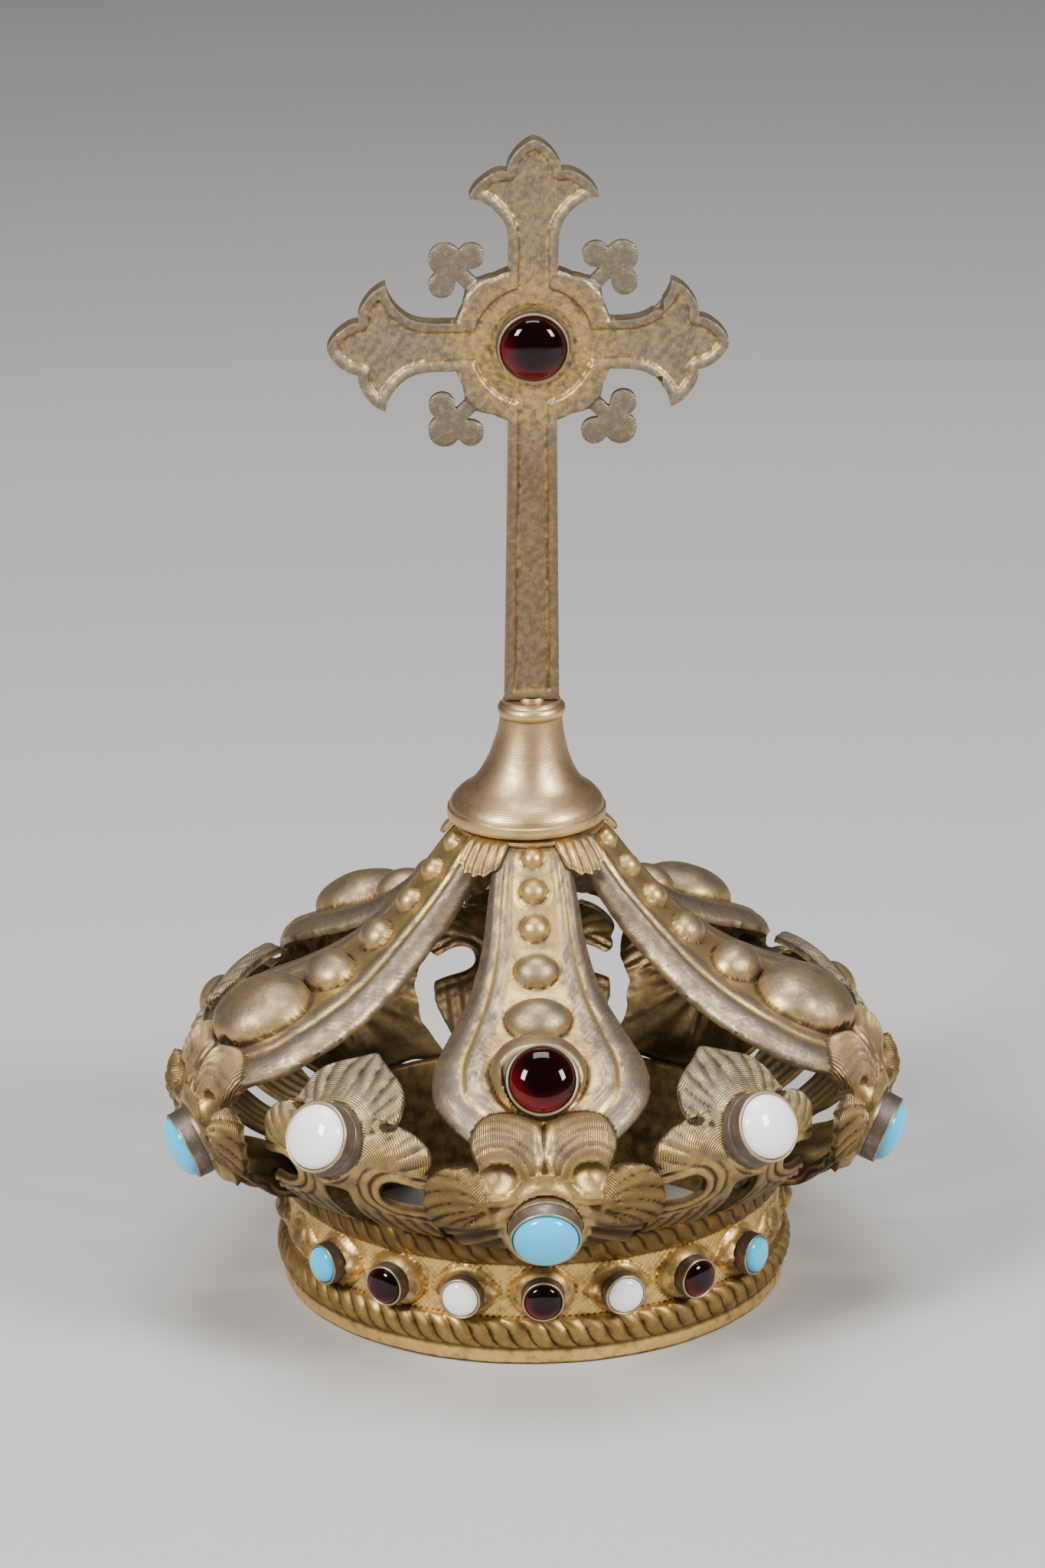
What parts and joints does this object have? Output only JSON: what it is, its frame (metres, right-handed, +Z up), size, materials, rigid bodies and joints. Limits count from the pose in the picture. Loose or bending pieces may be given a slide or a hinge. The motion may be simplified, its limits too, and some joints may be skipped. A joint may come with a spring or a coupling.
{
  "type": "ceremonial crown",
  "caption": "Arched crown of aged gilt brass with a leaf gallery, roped circlet, turned socket and tall budded cross, set with round glass cabochons.",
  "frame": {"origin": "on the floor plane, under the middle of the overall box; the foot ring's axis stands 3.66 mm behind it", "axes": "+Z up the socket and cross, front of the cross toward -Y, +X to a viewer's right"},
  "size_m": [0.1414, 0.1406, 0.2241],
  "materials": {
    "gilt_brass": "aged satin gilding with grey-brown tarnish",
    "polished_brass": "brushed, edges polished",
    "dark_brass": "oxidised, thin bright edge",
    "turquoise_glass": "opaque gloss",
    "white_glass": "milky gloss",
    "garnet_glass": "deep red gloss"
  },
  "bodies": {
    "root": {"circlet": "gilt_brass", "arch_front": "gilt_brass", "arch_left": "gilt_brass", "arch_right": "gilt_brass", "arch_rear_left": "gilt_brass", "arch_rear_right": "gilt_brass", "palmette_front_left": "gilt_brass", "palmette_front_right": "gilt_brass", "palmette_side_left": "gilt_brass", "palmette_side_right": "gilt_brass", "palmette_back": "gilt_brass", "cap": "gilt_brass", "socket": "polished_brass", "cross": "gilt_brass", "setting_garnet_arch": "dark_brass", "setting_garnet_cross": "dark_brass", "setting_turquoise_front": "dark_brass", "setting_turquoise_left": "dark_brass", "setting_turquoise_right": "dark_brass", "setting_white_left": "dark_brass", "setting_white_right": "dark_brass", "setting_turquoise_small_left": "dark_brass", "setting_turquoise_small_right": "dark_brass", "setting_garnet_small_left": "dark_brass", "setting_garnet_small_right": "dark_brass", "setting_garnet_small_middle": "dark_brass", "setting_white_small_left": "dark_brass", "setting_white_small_right": "dark_brass", "stone_garnet_arch": "garnet_glass", "stone_garnet_cross": "garnet_glass", "stone_turquoise_front": "turquoise_glass", "stone_turquoise_left": "turquoise_glass", "stone_turquoise_right": "turquoise_glass", "stone_white_left": "white_glass", "stone_white_right": "white_glass", "stone_turquoise_small_left": "turquoise_glass", "stone_turquoise_small_right": "turquoise_glass", "stone_garnet_small_left": "garnet_glass", "stone_garnet_small_right": "garnet_glass", "stone_garnet_small_middle": "garnet_glass", "stone_white_small_left": "white_glass", "stone_white_small_right": "white_glass"}
  },
  "joints": []
}
